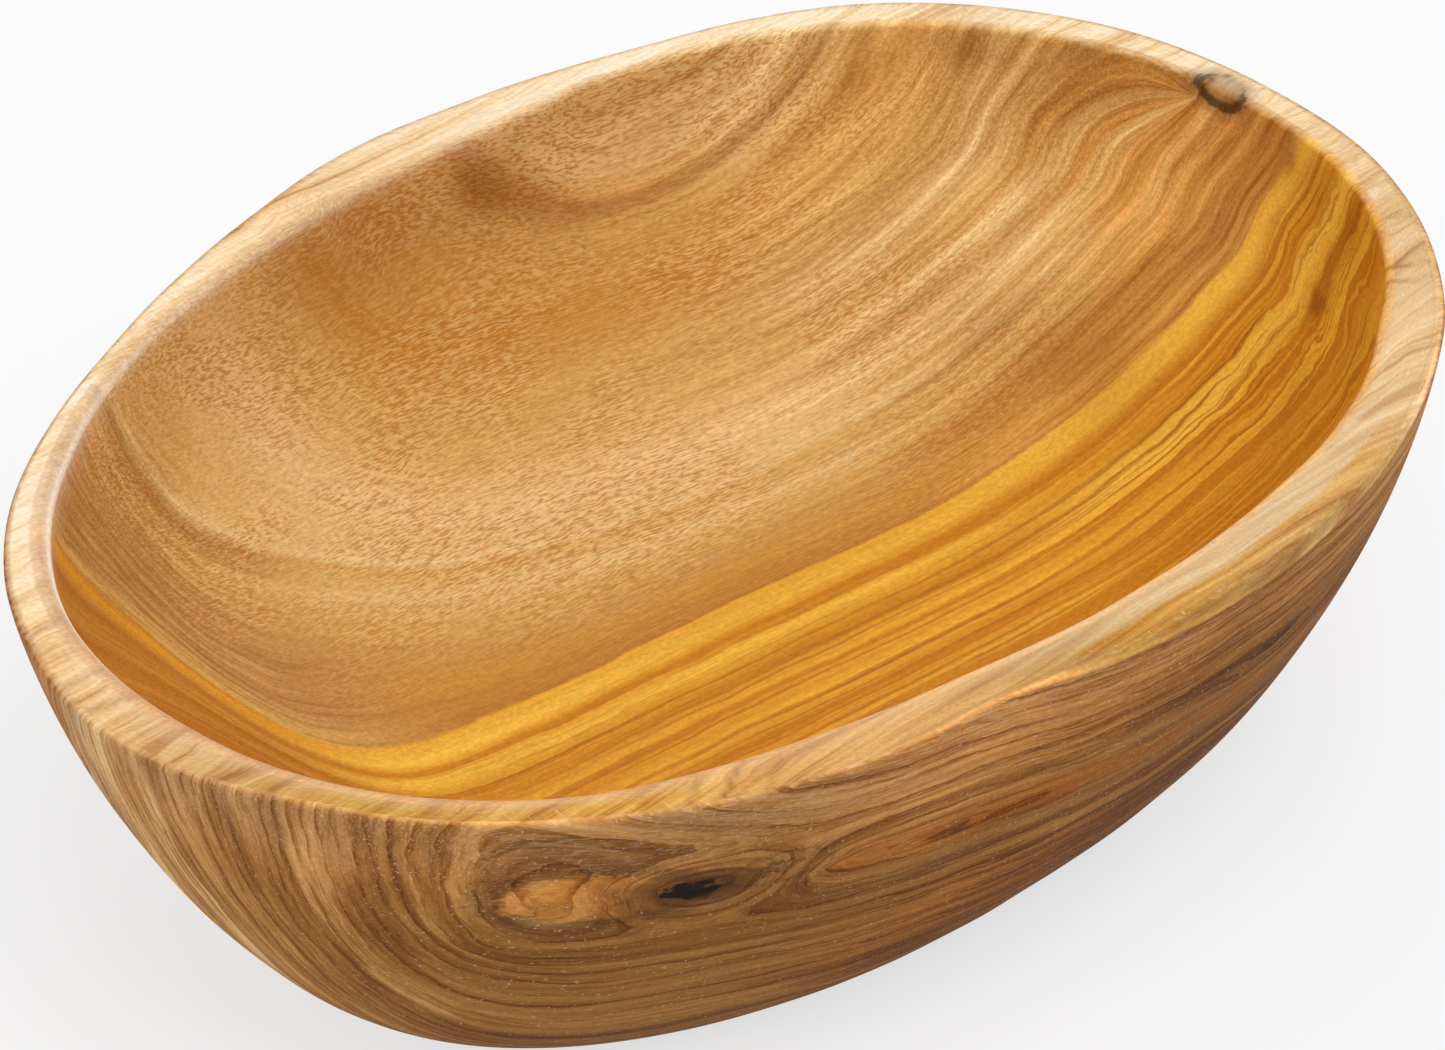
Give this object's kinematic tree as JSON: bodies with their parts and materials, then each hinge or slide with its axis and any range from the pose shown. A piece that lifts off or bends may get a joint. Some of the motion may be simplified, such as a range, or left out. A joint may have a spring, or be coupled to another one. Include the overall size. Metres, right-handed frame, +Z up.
{
  "type": "wooden bowl",
  "caption": "Oval hand-carved wooden bowl, deep and open, with a flat sawn rim, walls that round under to a flat foot, and a smooth dished hollow.",
  "frame": {"origin": "middle of the rim's outline, on the surface that the foot stands on", "axes": "+Z up out of the bowl, +X along its length, towards the fuller end of its egg-shaped rim"},
  "size_m": [0.2201, 0.1618, 0.067],
  "materials": {
    "wood": "satin oiled"
  },
  "bodies": {
    "root": {"bowl": "wood"}
  },
  "joints": []
}
